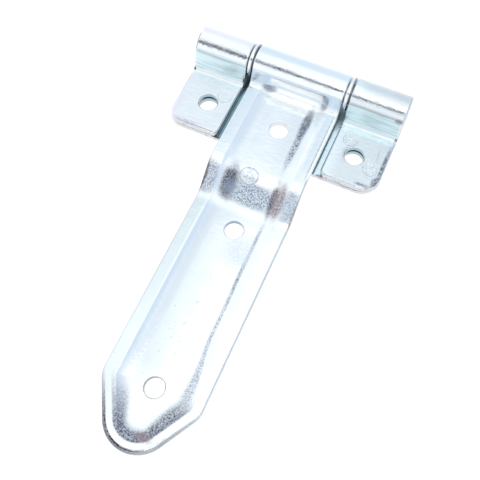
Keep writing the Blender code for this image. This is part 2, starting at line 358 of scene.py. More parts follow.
def apply_modifier(piece, modifier):
    """Make the result of a modifier the piece's plain mesh."""
    evaluated = piece.evaluated_get(bpy.context.evaluated_depsgraph_get())
    piece.data = bpy.data.meshes.new_from_object(evaluated)
    piece.modifiers.remove(modifier)


def cut_and_smooth(piece, cutter):
    """Cut a piece, and shade it smooth between its real edges."""
    modifier = piece.modifiers.new("cut", "BOOLEAN")
    modifier.operation = "DIFFERENCE"
    modifier.solver = "EXACT"
    modifier.use_self = True
    modifier.object = cutter
    apply_modifier(piece, modifier)
    bpy.data.objects.remove(cutter, do_unlink=True)
    piece.data.shade_smooth()
    piece.data.set_sharp_from_angle(angle=smooth_angle)
    modifier = piece.modifiers.new("level_flats", "WEIGHTED_NORMAL")
    modifier.keep_sharp = True
    modifier.weight = 90
    apply_modifier(piece, modifier)


def through_hole(x, y, diameter, bottom, top):
    """A hole whose two edges are slightly rounded by the punch."""
    radius = diameter / 2
    flare = radius + punch_round
    return x, y, [
        (flare + punch_round, bottom - 2 * punch_round),
        (flare, bottom),
        (radius, bottom + punch_round),
        (radius, top - punch_round),
        (flare, top),
        (flare + punch_round, top + 2 * punch_round),
    ]


def add_noise(tree, place, scale, detail=2.0, stretch=(1.0, 1.0, 1.0), turn=(0.0, 0.0, 0.0)):
    inputs = {"Vector": place, "Scale": stretch, "Rotation": turn}
    mapping = add_node(tree, "ShaderNodeMapping", inputs)
    inputs = {"Vector": mapping.outputs[0], "Scale": scale, "Detail": detail}
    return add_node(tree, "ShaderNodeTexNoise", inputs).outputs[0]


def add_split(tree, vector):
    return add_node(tree, "ShaderNodeSeparateXYZ", {0: vector}).outputs


class Coat:
    """The zinc coat of a piece: a colour, with zones of other colours laid over it, most of them
    painted reflections, highlights and shade.

    A zone is a product of shares. A share (value, none, full) goes smoothly from 0 where the
    value is none to 1 where it is full. The parts of a face's normal are ahead, along Y,
    upward, along Z, and sideways, the size of its part along X.
    """

    def __init__(self, tree, base, coordinates, grain):
        self.tree = tree
        self.base = base
        self.place = coordinates["Object"]
        self.x, self.y, self.z = add_split(tree, self.place)
        across, self.ahead, self.upward = add_split(tree, coordinates["Normal"])
        self.sideways = self.math("ABSOLUTE", across)
        self.fleck = self.zone((grain, 0.41, 0.59))
        self.on_top = self.zone((self.upward, 0.05, 0.30))
        self.level = self.zone((self.upward, 0.90, 0.97))
        self.on_wall = self.zone((self.math("ABSOLUTE", self.upward), 0.50, 0.25))
        self.on_barrel = self.zone((self.z, pin_height + 0.0025, pin_height + 0.0045))
        self.strain = self.haze = self.highlight_diffuse = 0.0

    def math(self, operation, *values):
        return add_math(self.tree, operation, *values)

    def fade(self, value, start, end, low, high):
        return add_fade(self.tree, value, start, end, low, high)

    def by_side(self, left, right):
        """One value on the left wing and knuckle, and another on the right ones."""
        return self.fade(self.x, -0.02, 0.02, left, right)

    def noise(self, *settings):
        return add_noise(self.tree, self.place, *settings)

    def off(self, value, middle):
        return self.math("ABSOLUTE", self.math("SUBTRACT", value, middle))

    def outside(self, zone):
        return self.math("SUBTRACT", 1.0, zone)

    def flecked(self, least):
        """Full share in the flecks, and the least share between them."""
        return self.math("MULTIPLY_ADD", self.fleck, 1.0 - least, least)

    def most(self, *shares):
        result = shares[0]
        for share in shares[1:]:
            result = self.math("MAXIMUM", result, share)
        return result

    def zone(self, *shares):
        result = None
        for share in shares:
            if isinstance(share, tuple):
                share = self.fade(*share, 0.0, 1.0)
            result = share if result is None else self.math("MULTIPLY", result, share)
        return result

    def oval(self, centre, halves, softness):
        """An oval body with a soft skin, from its centre and half sizes in millimetres."""
        length = self.place
        for operation, parts in (("SUBTRACT", centre), ("DIVIDE", halves)):
            inputs = {0: length, 1: [part / 1000 for part in parts]}
            node = add_node(self.tree, "ShaderNodeVectorMath", inputs, operation=operation)
            length = node.outputs[0]
        node = add_node(self.tree, "ShaderNodeVectorMath", {0: length}, operation="LENGTH")
        return self.zone((node.outputs[1], 1.0 + softness, 1.0 - softness))

    def mix(self, share, first, second):
        return add_mix(self.tree, self.zone(share), first, second)

    def lay(self, colour, *shares):
        """Lay a colour over the coat where all the shares are full."""
        self.base = self.mix(self.zone(*shares), self.base, colour)

    def lay_light_and_shade(self, marks):
        """Lay marks of painted reflection and painted shade on the upper faces. Flecks roughen a
        mark by their share of it.
        """
        for centre, halves, softness, flecks, colour in marks:
            mark = self.zone(self.oval(centre, halves, softness), self.on_top)
            self.lay(colour, mark, self.flecked(1.0 - flecks))
            self.strain = self.most(self.strain, self.zone(mark, flecks))


def zinc(name, colour, roughness, paint=None):
    """Bright zinc plating over rolled sheet. The paint function lays a piece's zones on it,
    painted light and shade among them, and turns its painted highlights partly diffuse.
    """
    material = bpy.data.materials.new(name)
    material.use_nodes = True
    tree = material.node_tree
    shader = tree.nodes["Principled BSDF"]
    shader.inputs["Metallic"].default_value = 1.0
    coordinates = add_node(tree, "ShaderNodeTexCoord").outputs
    place = coordinates["Object"]
    clouds = add_noise(tree, place, 110.0, 3.0)
    grain = add_noise(tree, place, 1500.0)
    faded = [part * cloud_shade for part in colour]
    base = add_mix(tree, add_fade(tree, clouds, 0.35, 0.65, 0.0, 1.0), colour, faded)
    coat = Coat(tree, base, coordinates, grain)
    if paint:
        paint(coat)
        tree.links.new(coat.outside(coat.highlight_diffuse), shader.inputs["Metallic"])
    tree.links.new(coat.base, shader.inputs["Base Color"])
    rough = coat.fade(clouds, 0.3, 0.7, roughness - 0.03, roughness + 0.05)
    rough = coat.math("MULTIPLY_ADD", coat.haze, haze_roughness, rough)
    tree.links.new(rough, shader.inputs["Roughness"])
    relief = (
        # strength, depth, height: ripples, drag lines, and the grain of stretched sheet
        (0.28, 0.0002, coat.noise(170.0, 2.0, (0.35, 1.0, 1.0))),
        (0.24, 0.0003, coat.noise(620.0, 2.0, (0.45, 1.0, 1.0))),
        (coat.math("MULTIPLY_ADD", coat.strain, 0.6, 0.08), 0.00035, grain),
    )
    below = {}
    for strength, depth, height in relief:
        inputs = {"Strength": strength, "Distance": depth, "Height": height, **below}
        below = {"Normal": add_node(tree, "ShaderNodeBump", inputs).outputs[0]}
    tree.links.new(below["Normal"], shader.inputs["Normal"])
    return material


def on_knuckle_reflection(coat, middle, half_width):
    """A ragged line of painted dark reflection along a knuckle, at an angle in degrees from its
    top.
    """
    backward = coat.math("MULTIPLY", coat.ahead, -1.0)
    angle = coat.math("DEGREES", coat.math("ARCTAN2", backward, coat.upward))
    ragged = coat.fade(coat.noise(900.0, 3.0, (1.0, 0.3, 0.3)), 0.3, 0.7, -2.6, 2.6)
    off_line = coat.off(coat.math("ADD", angle, ragged), middle)
    return coat.zone(
        (coat.math("DIVIDE", off_line, half_width), 1.5, 0.3),
        (coat.z, pin_height + 0.003, pin_height + 0.004), coat.flecked(0.4),
    )


# Marks of painted reflection and painted shade on the bracket.
bracket_light_and_shade = (
    # centre, half sizes, softness, share of flecks, colour
    ((-27.3, -42.6, 2.0), (2.0, 1.3, 3.5), 0.35, 0.1, (0.05, 0.045, 0.05)),
    ((26.8, -42.4, 3.5), (1.8, 1.0, 3.0), 0.4, 0.3, (0.30, 0.25, 0.30)),
    ((52.6, -28.0, 6.0), (0.85, 10.5, 3.0), 0.55, 0.60, (0.13, 0.15, 0.20)),
    ((51.5, -37.3, 6.0), (1.2, 2.8, 3.0), 0.55, 0.55, (0.13, 0.15, 0.20)),
    ((47.0, -40.4, 6.0), (3.4, 0.9, 3.0), 0.55, 0.55, (0.24, 0.26, 0.33)),
    ((43.0, -42.5, 3.3), (7.0, 0.9, 0.7), 0.45, 0.70, (0.22, 0.20, 0.24)),
    ((51.8, -7.6, 16.2), (2.0, 1.2, 1.2), 0.60, 0.45, (0.26, 0.22, 0.25)),
    ((-53.5, -11.7, 7.0), (0.9, 1.0, 2.0), 0.30, 0.0, (0.06, 0.08, 0.09)),
    ((53.6, -11.7, 7.0), (0.8, 1.0, 2.0), 0.30, 0.0, (0.20, 0.22, 0.28)),
    ((34.4, -26.5, 6.3), (1.8, 4.0, 2.0), 0.6, 0.4, (0.48, 0.54, 0.62)),
    ((-53.0, -34.0, 6.3), (3.5, 8.0, 3.0), 0.6, 0.0, (0.80, 0.82, 0.90)),
    ((-44.0, -41.8, 5.0), (9.0, 1.6, 3.0), 0.5, 0.4, (0.60, 0.60, 0.70)),
    ((50.0, 3.0, 20.5), (5.0, 5.0, 3.0), 0.6, 0.5, (0.66, 0.70, 0.75)),
)
bracket_line_angle = 40.0
web_length, web_foot = web_run(wing_top, bracket_bend_radius)


def paint_knuckles(coat):
    """Painted reflections on the knuckles: dark, purple and grey lines along them, a painted
    highlight on the left one, greyer end rims, and a blue tint on the webs, which also carry fine
    streaks.
    """
    x, z, ahead, upward = coat.x, coat.z, coat.ahead, coat.upward
    on_web = coat.zone((ahead, -0.85, -0.93), (z, wing_top + 0.0003, wing_top + 0.0012))
    # Painted reflection tints the webs blue.
    web_reflection_tint = coat.mix(coat.by_side(0.0, 1.0), (0.69, 0.86, 0.91), (0.77, 0.94, 0.98))
    coat.lay(web_reflection_tint, on_web, 0.8)
    streaks = coat.noise(1300.0, 1.0, (0.05, 1.0, 1.0))
    coat.lay((0.40, 0.54, 0.60), on_web, (streaks, 0.48, 0.70), 0.7)
    coat.haze = coat.zone(on_web, 0.7)
    # A purple line of painted reflection along the knuckles.
    coat.lay(
        (0.38, 0.35, 0.40), (z, pin_height + 0.0021, pin_height + 0.0028), (upward, 0.31, 0.37),
        (upward, 0.53, 0.42), coat.by_side(0.2, 0.6),
    )
    # Painted dark reflection along each knuckle.
    knuckle_dark_reflection = on_knuckle_reflection(coat, bracket_line_angle, coat.by_side(4.6, 2.8))
    coat.lay((0.12, 0.13, 0.19), knuckle_dark_reflection, coat.by_side(0.9, 0.40))
    # Painted reflection greys the rolled rims near the knuckles' ends.
    near_end = (
        coat.math("ABSOLUTE", x), bracket_inner_x + 0.002, bracket_half_length - 0.002,
    )
    end_rim_reflection = coat.mix(coat.by_side(0.0, 1.0), (0.40, 0.40, 0.47), (0.60, 0.64, 0.74))
    coat.lay(end_rim_reflection, (coat.sideways, 0.12, 0.40), near_end, coat.on_barrel)
    # A painted highlight on the left knuckle, and a thin grey line of painted reflection.
    coat.lay((0.96, 0.96, 1.0), (x, -0.024, -0.030), coat.on_barrel, (ahead, -0.22, -0.02), 0.8)
    coat.lay(
        (0.30, 0.35, 0.40), (z, pin_height + 0.0021, pin_height + 0.0025), (upward, 0.309, 0.322),
        (upward, 0.375, 0.345), 0.5,
    )


def paint_wing_edges(coat):
    """Painted shade on the wings' rolled edges, painted shadow and light on the lower plate beside
    the strap, painted reflection on the hole walls, and the cut edges.
    """
    x, y, z, upward = coat.x, coat.y, coat.z, coat.upward
    # Painted shade on the left wing's inner rolled edge.
    coat.lay(
        (0.40, 0.46, 0.50), (coat.sideways, 0.15, 0.35), (x, -0.0284, -0.0280),
        (x, -0.0258, -0.0262), (z, wing_top - 0.0014, wing_top - 0.0010), (y, -0.012, -0.014),
        0.8,
    )
    before_web = (y, -web_foot - 0.001, -web_foot - 0.002)
    # Painted shade on the rolled edges of the wing tops.
    coat.lay((0.42, 0.44, 0.52), (upward, 0.80, 0.90), (upward, 0.995, 0.965), before_web, 0.75)
    lower_plate = coat.zone(coat.level, (z, sheet + 0.0003, sheet + 0.0001))
    # Painted shadow on the plate in the left gap; painted shade and light on the right strip.
    coat.lay((0.23, 0.36, 0.40), lower_plate, (x, -0.0270, -0.0266), (x, -0.0215, -0.0225))
    strip_colour = coat.mix((x, 0.0238, 0.0243), (0.42, 0.58, 0.64), (0.68, 0.83, 0.89))
    coat.lay(strip_colour, lower_plate, (x, 0.0215, 0.0225), (x, 0.0270, 0.0266))
    for side in (-1, 1):
        centre = (side * bracket_hole[0] * 1000, -bracket_hole[1] * 1000, 3.15)
        in_hole = coat.zone(coat.oval(centre, (5.8, 5.8, 50.0), 0.05), coat.on_wall)
        # Painted reflection on the hole walls; the dark line below it is the seam between the
        # layers.
        coat.lay((0.38, 0.52, 0.58), in_hole)
        coat.lay((0.04, 0.06, 0.07), in_hole, coat.oval(centre, (50.0, 50.0, 0.75), 0.35))
    front = coat.zone(coat.on_wall, (y, -0.0395, -0.0405))
    coat.lay((0.66, 0.65, 0.67), front, 0.7)
    coat.lay((0.42, 0.38, 0.41), front, (coat.noise(420.0, 2.0), 0.50, 0.68), 0.5)


def paint_welds(coat):
    """Scratches on the right wing, and the mottled prints of the spot welds."""
    scratch_turn = (0.0, 0.0, math.radians(-68.0))
    scratches = coat.off(coat.noise(620.0, 1.0, (1.0, 0.06, 1.0), scratch_turn), 0.58)
    scratched = coat.oval((49.0, -22.0, 6.3), (5.0, 9.0, 2.0), 0.4)
    coat.lay((0.42, 0.47, 0.55), (scratches, 0.02, 0.0), scratched, coat.level, 0.7)
    mottle = coat.noise(1100.0, 2.0)
    print_colour = coat.mix((mottle, 0.40, 0.62), (0.86, 0.93, 0.96), (0.50, 0.60, 0.67))
    for weld_x, weld_y in weld_places:
        centre = (weld_x * 1000, weld_y * 1000, wing_top * 1000)
        weld_print = coat.zone(coat.oval(centre, (3.7, 3.7, 1.0), 0.06), coat.level)
        rim = coat.math("SUBTRACT", weld_print, coat.oval(centre, (3.2, 3.2, 1.0), 0.08))
        coat.lay(print_colour, weld_print, coat.by_side(0.12, 0.45))
        coat.lay((0.36, 0.44, 0.50), rim, coat.fleck, coat.by_side(0.15, 0.50))


def paint_bracket(coat):
    # Painted shade darkens the bracket towards the right, and a painted reflection tints the level
    # faces beside the strap on the right.
    coat.lay(bracket_right_shade, (coat.x, -0.045, 0.030))
    coat.lay((0.76, 0.87, 0.92), coat.level, (coat.x, 0.0345, 0.0275), (coat.x, 0.0, 0.01))
    paint_knuckles(coat)
    paint_wing_edges(coat)
    paint_welds(coat)
    coat.lay_light_and_shade(bracket_light_and_shade)
    # Painted shade on the faces that look sideways, below the pin.
    coat.lay((0.46, 0.47, 0.52), (coat.sideways, 0.80, 0.92), (coat.z, pin_height, 0.0), 0.8)
    coat.strain = coat.most(coat.strain, coat.zone(coat.on_barrel, 0.45))
    at_bend = coat.zone(
        (coat.y, -web_foot - 0.0008, -web_foot - 0.0002),
        (coat.z, wing_top + 0.0030, wing_top + 0.0015),
    )
    coat.haze = coat.most(coat.haze, at_bend)


bracket_path = walk(-bracket_reach, 0.0, 0.0, [
    (bracket_reach + bracket_throat, 0.0),
    (knuckle_radius - bracket_rear_radius - bracket_throat, 0.0),
    (bracket_rear_radius * math.pi / 2, math.pi / 2),
    (pin_height - bracket_rear_radius, 0.0),
    (knuckle_radius * (math.pi / 2 + web_slope), math.pi / 2 + web_slope),
    (web_length, 0.0),
    (bracket_bend_radius * web_slope, -web_slope),
    (bracket_reach - web_foot, 0.0),
])
bm = bmesh.new()
rows = {}
for x in (-bracket_half_length, -bracket_inner_x, bracket_inner_x, bracket_half_length):
    rows[x] = (
        [bm.verts.new((x, *aside(station, 0.0))) for station in bracket_path],
        [bm.verts.new((x, *aside(station, sheet))) for station in bracket_path],
    )
last = len(bracket_path) - 1
for x_from, x_to, end in (
    (-bracket_half_length, -bracket_inner_x, last),
    (bracket_inner_x, bracket_half_length, last),
    (-bracket_inner_x, bracket_inner_x, 1),
):
    left_loop = rows[x_from][0][: end + 1] + rows[x_from][1][end::-1]
    right_loop = rows[x_to][0][: end + 1] + rows[x_to][1][end::-1]
    for index in range(len(left_loop)):
        before = index - 1
        bm.faces.new((left_loop[before], left_loop[index], right_loop[index], right_loop[before]))
for x, first in (
    (-bracket_half_length, 0),
    (-bracket_inner_x, 1),
    (bracket_inner_x, 1),
    (bracket_half_length, 0),
):
    outer, inner = rows[x]
    for index in range(first, last):
        bm.faces.new((outer[index], outer[index + 1], inner[index + 1], inner[index]))
bmesh.ops.recalc_face_normals(bm, faces=bm.faces)
for corner_x, corner_top, corner_radius in (
    (-bracket_half_length, sheet, wing_left_corner),
    (-bracket_half_length, wing_top, wing_left_corner),
    (bracket_half_length, sheet, wing_right_corner),
    (bracket_half_length, wing_top, wing_right_corner),
    (-bracket_inner_x, wing_top, wing_inner_corner),
    (bracket_inner_x, wing_top, wing_inner_corner),
):
    corners = []
    for edge in bm.edges:
        low, high = sorted(edge.verts, key=lambda vert: vert.co.z)
        at_front = max(abs(vert.co.y + bracket_reach) for vert in edge.verts) < touching
        at_side = max(abs(vert.co.x - corner_x) for vert in edge.verts) < touching
        at_top = abs(high.co.z - corner_top) < touching and high.co.z - low.co.z > sheet / 2
        if at_front and at_side and at_top:
            corners.append(edge)
    round_edges(bm, corners, corner_radius, corner_steps)
outer_face = [Vector((0.0, *aside(station, 0.0))) for station in bracket_path]


def on_outer_face(vert):
    """Tell whether a point lies on the side of the sheet that the blanking punch met first."""
    place = Vector((0.0, vert.co.y, vert.co.z))
    for start, end in zip(outer_face, outer_face[1:]):
        nearest, share = intersect_point_line(place, start, end)
        nearest = start.lerp(end, min(max(share, 0.0), 1.0))
        if (nearest - place).length < 10 * touching:
            return True
    return False


def sharp_edges(bm):
    return [edge for edge in bm.edges if edge.calc_face_angle_signed(0.0) > cut_angle]


rolled_edges = [
    edge for edge in sharp_edges(bm) if all(on_outer_face(vert) for vert in edge.verts)
]
round_edges(bm, rolled_edges, sheet_edge_roll, 5)
round_edges(bm, sharp_edges(bm), sheet_edge_round, 3)
bracket = add_piece("bracket", bm, zinc("bracket_zinc", bracket_colour, 0.17, paint_bracket))
hole_x, hole_reach, hole_diameter = bracket_hole
bracket_cuts = [through_hole(window[0], -window[1], window[2], 0.0, sheet)]
notch_top = wing_top + sheet
for side in (-1, 1):
    bracket_cuts.append(through_hole(side * hole_x, -hole_reach, hole_diameter, 0.0, wing_top))
    bracket_cuts.append((side * bracket_half_length, -web_foot, [
        (bend_notch, sheet + layer_gap / 2),
        (bend_notch, notch_top),
    ]))
for x, y in weld_places:
    bracket_cuts.append((x, y, [
        (weld_radius * weld_flat, wing_top - weld_dip),
        (weld_radius * weld_rise, wing_top - weld_dip / 2),
        (weld_radius, wing_top + weld_dip / 6),
        (weld_radius, wing_top + sheet),
    ]))
cut_and_smooth(bracket, add_cutter("bracket_cutter", bracket_cuts))
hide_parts("base_bracket")
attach(bracket, "base")


# Each spot weld leaves a thin ring of the bracket's own plated steel, pushed up round the print
# of the electrode that joined the two layers.
ring_thickness = 0.00016
ring_sink = 0.45
ring_sides = 64
ring_section_sides = 8


def nodes_piece(name, points, build, inputs):
    """Run a Geometry Nodes tree on a few points and keep its result as a plain mesh."""
    tree = bpy.data.node_groups.new(name, "GeometryNodeTree")
    tree.interface.new_socket("Geometry", in_out="INPUT", socket_type="NodeSocketGeometry")
    tree.interface.new_socket("Geometry", in_out="OUTPUT", socket_type="NodeSocketGeometry")
    for label, value in inputs.items():
        kind = "NodeSocketMaterial" if isinstance(value, bpy.types.Material) else "NodeSocketFloat"
        tree.interface.new_socket(label, in_out="INPUT", socket_type=kind)
    group = tree.nodes.new("NodeGroupInput").outputs
    result = build(tree, group)
    realised = add_node(tree, "GeometryNodeRealizeInstances", {0: result}).outputs[0]
    smooth = add_node(tree, "GeometryNodeSetShadeSmooth", {0: realised}).outputs[0]
    dressed = add_node(tree, "GeometryNodeSetMaterial", {0: smooth, "Material": group["Material"]})
    tree.links.new(dressed.outputs[0], tree.nodes.new("NodeGroupOutput").inputs[0])
    mesh = bpy.data.meshes.new(name)
    mesh.from_pydata(points, [], [])
    piece = add_object(name, mesh)
    modifier = piece.modifiers.new(name, "NODES")
    modifier.node_group = tree
    for socket in tree.interface.items_tree:
        if socket.in_out == "INPUT" and socket.name in inputs:
            modifier[socket.identifier] = inputs[socket.name]
    apply_modifier(piece, modifier)
    return piece


def add_circle(tree, sides, radius):
    inputs = {"Resolution": sides, "Radius": radius}
    return add_node(tree, "GeometryNodeCurvePrimitiveCircle", inputs).outputs[0]


def sweep_on_points(tree, group, circle, section, turn=(0.0, 0.0, 0.0)):
    """Sweep a section round a circle, and put one such ring on each point."""
    inputs = {"Curve": circle, "Profile Curve": section}
    ring = add_node(tree, "GeometryNodeCurveToMesh", inputs).outputs[0]
    inputs = {"Points": group["Geometry"], "Instance": ring, "Rotation": turn}
    return add_node(tree, "GeometryNodeInstanceOnPoints", inputs).outputs[0]


def build_weld_rings(tree, group):
    circle = add_circle(tree, ring_sides, group["Ring Radius"])
    section = add_circle(tree, ring_section_sides, group["Thickness"])
    return sweep_on_points(tree, group, circle, section)


weld_rings = nodes_piece(
    "weld_rings",
    [(x, y, wing_top - ring_thickness * ring_sink) for x, y in weld_places],
    build_weld_rings,
    {
        "Ring Radius": weld_radius,
        "Thickness": ring_thickness,
        "Material": zinc("weld_zinc", (0.82, 0.89, 0.94), 0.24),
    },
)
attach(weld_rings, "base")


# The strap is one long blank of the same sheet. One stroke presses the pan between its flat
# rims and cranks it down, and its end is curled round the pin.
strap_reach = 0.1900
strap_half_width = 0.0235
rim_width = 0.0060
rim_middle = 0.0022
pan_depth = 0.0025
pan_wall_run = 0.0085
wall_steps = 18
pan_end_run = 0.0064
pan_end_crease = 0.5
rim_height = wing_top + pan_depth
strap_bend_radius = 0.0022
strap_edge_round = 0.0010
curl_end = math.radians(-120.0)
crank_reach = 0.0632
crank_drop = 0.0111
crank_slope = math.radians(38.5)
crank_bend_radius = 0.0110
tip_taper = math.radians(30.0)
nose_radius = 0.0155
tip_corner_radius = 0.0100
tip_least_radius = 0.0008
tip_lead_in = 0.0005
tip_edge_gain = 0.8
strap_holes = (0.0282, 0.0806, 0.1613)
strap_hole_diameter = 0.0093
strap_colour = (0.84, 0.91, 0.96)

tip_point = nose_radius + (
    strap_half_width * math.cos(tip_taper) - nose_radius
) / math.sin(tip_taper)
tip_back = tip_point + tip_lead_in + (
    rim_width + pan_wall_run + tip_least_radius
) * math.tan(tip_taper / 2)
crank_half_run = crank_drop / math.tan(crank_slope) / 2
bend_out = crank_bend_radius + sheet / 2
bend_in = crank_bend_radius - sheet / 2
bend_share = math.tan(crank_slope / 2)
strap_web_length, strap_web_foot = web_run(rim_height, strap_bend_radius)
web_steps = 14
up_the_knuckle = 0.0004
strap_moves = [
    (strap_reach - tip_back - crank_reach - crank_half_run - bend_in * bend_share, 0.0),
    (bend_in * crank_slope, crank_slope),
    (crank_drop / math.sin(crank_slope) - (bend_out + bend_in) * bend_share, 0.0),
    (bend_out * crank_slope, -crank_slope),
    (crank_reach - crank_half_run - bend_out * bend_share - strap_web_foot, 0.0),
    (strap_bend_radius * web_slope, web_slope),
]
strap_moves += [(strap_web_length / web_steps, 0.0)] * web_steps
strap_moves.append((
    knuckle_radius * (math.pi / 2 + web_slope - curl_end),
    curl_end - math.pi / 2 - web_slope,
))
strap_start = (-strap_reach + tip_back, rim_height - crank_drop - pin_height, 0.0)
strap_path = walk(*strap_start, strap_moves)[::-1]
curl_steps = math.ceil((math.pi / 2 + web_slope - curl_end) / arc_step)


def down_the_web():
    """Distance of each station of the strap from the knuckle, down the web and on.

    It is 0 at the knuckle's foot, and a little less at each station before it.
    """
    distances = []
    for index, station in enumerate(strap_path):
        if index <= curl_steps:
            distances.append((index - curl_steps) * up_the_knuckle)
        else:
            before = strap_path[index - 1]
            step = math.hypot(station[0] - before[0], station[1] - before[1])
            distances.append(distances[-1] + step)
    return distances


def wall_fall(inset):
    """Share of the pan's depth at an inset from the edge: a crisp rim and a soft foot."""
    share = min(max((inset - rim_width) / pan_wall_run, 0.0), 1.0)
    return 1 - (1 - share) ** 2


def end_fall(distance):
    share = min(max(distance / pan_end_run, 0.0), 1.0)
    return pan_end_crease * share + (1 - pan_end_crease) * (1 - math.cos(math.pi * share)) / 2


def hidden_room(distance):
    """How far the web's hidden face may go in before it would reach the pin's bore."""
    bore = knuckle_radius - sheet
    if distance >= bore:
        return pan_depth
    return bore - math.sqrt(bore ** 2 - max(distance, 0.0) ** 2)


def edge_drop(inset):
    """Roundness that the blanking die leaves along the strap's top edge."""
    share = min(inset / strap_edge_round, 1.0)
    return strap_edge_round * (1 - math.sqrt(1 - (1 - share) ** 2))


def tip_outline(inset):
    """One half of the tip at an inset from its edge, as (x, y) up to the middle."""
    corner = max(tip_corner_radius - inset, tip_least_radius)
    corner_start = tip_point + (inset + corner) * math.tan(tip_taper / 2)
    points = []
    count = math.ceil(tip_taper / arc_step)
    for index in range(count + 1):
        angle = tip_taper * index / count
        x = strap_half_width - inset - corner + corner * math.cos(angle)
        points.append((x, -strap_reach + corner_start - corner * math.sin(angle)))
    sweep = math.pi / 2 - tip_taper
    count = math.ceil(sweep / arc_step)
    for index in range(count + 1):
        angle = tip_taper + sweep * index / count
        x = (nose_radius - inset) * math.cos(angle)
        points.append((x, -strap_reach + nose_radius - (nose_radius - inset) * math.sin(angle)))
    return points


def tip_points(share, inset):
    """The tip's outline, where the edge is rolled further over than along the sides."""
    if share >= 1.0:
        return [(x, y, edge_drop(inset)) for x, y in tip_outline(inset)]
    count = len(tip_outline(0.0))
    points = []
    for index in range(count):
        gain = 1.0 + tip_edge_gain * min(2.5 * index / count, 1.0)
        x, y = tip_outline(strap_edge_round * gain * share)[index]
        points.append((x, y, edge_drop(inset) * gain))
    return points


# The white of the painted highlights.
highlight_white = (0.97, 0.99, 1.0)
hole_wall_light_and_shade = (highlight_white, (0.30, 0.37, 0.50), (0.16, 0.16, 0.17))
strap_line_angle = 38.5
disc_place = (-3.0, -56.4, 5.0)
# Marks of painted reflection and painted shade on the strap.
strap_light_and_shade = (
    # centre, half sizes, softness, share of flecks, colour
    ((-11.4, -61.5, 1.8), (3.9, 8.6, 9.0), 0.50, 0.35, (0.06, 0.07, 0.12)),
    ((0.5, -63.3, 0.5), (13.0, 4.9, 9.0), 0.30, 0.80, (0.27, 0.36, 0.48)),
    ((-16.6, -60.5, 3.0), (1.6, 9.0, 9.0), 0.50, 0.10, (0.58, 0.68, 0.80)),
    ((11.6, -62.2, 1.8), (1.5, 7.8, 9.0), 0.50, 0.40, (0.09, 0.09, 0.14)),
    ((14.5, -62.5, 2.2), (3.1, 7.8, 9.0), 0.40, 0.50, (0.26, 0.21, 0.25)),
    ((20.6, -63.0, 3.0), (3.6, 7.0, 9.0), 0.40, 0.65, (0.44, 0.53, 0.65)),
    ((-20.6, -63.0, 3.0), (3.4, 7.0, 9.0), 0.40, 0.80, (0.32, 0.37, 0.48)),
    ((-23.3, -62.8, 3.0), (1.2, 7.4, 9.0), 0.35, 0.30, (0.10, 0.10, 0.13)),
    ((23.4, -65.5, 1.0), (0.9, 6.0, 9.0), 0.40, 0.50, (0.28, 0.26, 0.30)),
    ((10.7, -20.0, 6.6), (2.1, 8.5, 3.0), 0.45, 0.50, (0.08, 0.10, 0.15)),
    ((10.8, -33.0, 6.6), (1.5, 12.0, 3.0), 0.60, 0.80, (0.12, 0.15, 0.21)),
    ((-13.7, -8.6, 8.4), (3.7, 2.0, 3.0), 0.55, 0.30, (0.22, 0.24, 0.32)),
    ((15.6, -8.4, 9.0), (1.7, 2.2, 3.0), 0.55, 0.40, (0.32, 0.29, 0.36)),
    ((7.0, -90.0, -4.8), (6.5, 7.5, 2.0), 0.75, 0.60, (0.66, 0.74, 0.83)),
    ((5.6, -181.6, -3.5), (4.2, 2.0, 2.0), 0.60, 0.40, (0.26, 0.21, 0.23)),
)


def paint_rims(coat):
    """Greyer flat rims, and a greyer left and upper part of the pan, all painted reflections, with
    a painted highlight left bare along the right rim's inner edge.
    """
    x, y, inset = coat.x, coat.y, coat.inset
    on_rim = coat.zone((inset, 0.0062, 0.0056), coat.on_top, coat.on_strap)
    lower_part = coat.zone((y, -0.066, -0.076))
    to_tip = coat.fade(y, -0.150, -0.105, 0.45, 1.0)
    coat.lay((0.61, 0.70, 0.745), on_rim, lower_part, (x, -0.009, -0.017), to_tip)
    past_rim = coat.math("SUBTRACT", inset, coat.fade(y, -0.135, -0.115, 0.0057, 0.0050))
    coat.lay(
        coat.mix((x, -0.0130, -0.0155), (0.62, 0.70, 0.77), (0.71, 0.80, 0.87)),
        (x, 0.0090, -0.0170), (y, -0.166, -0.150), lower_part, (past_rim, 0.0, 0.0005),
        coat.on_top,
    )
    crease_highlight = coat.zone((inset, 0.0046, 0.0052), (inset, 0.0080, 0.0068), (x, 0.0, 0.01))
    upper_part = coat.zone((y, -0.054, -0.040), coat.on_strap, coat.on_top, coat.outside(crease_highlight))
    coat.lay((0.72, 0.81, 0.87), upper_part, on_rim)
    from_middle = coat.fade(coat.off(x, -0.003), 0.001, 0.011, 0.15, 0.85)
    coat.lay((0.72, 0.80, 0.86), upper_part, coat.in_pan, from_middle)


def paint_strap_knuckle(coat):
    """Painted reflections: a painted shade near the crest, the dark line along the knuckle, and
    the blue web.
    """
    z, ahead = coat.z, coat.ahead
    coat.lay((0.76, 0.86, 0.93), (ahead, -0.52, -0.46), (z, 0.0185, 0.0192), 0.8)
    coat.lay((0.12, 0.14, 0.20), on_knuckle_reflection(coat, strap_line_angle, 2.2), 0.41)
    coat.lay(
        (0.60, 0.70, 0.80), (coat.upward, 0.50, 0.44),
        (z, rim_height + 0.0020, rim_height + 0.0030), (ahead, -0.2, -0.5), 0.8,
    )


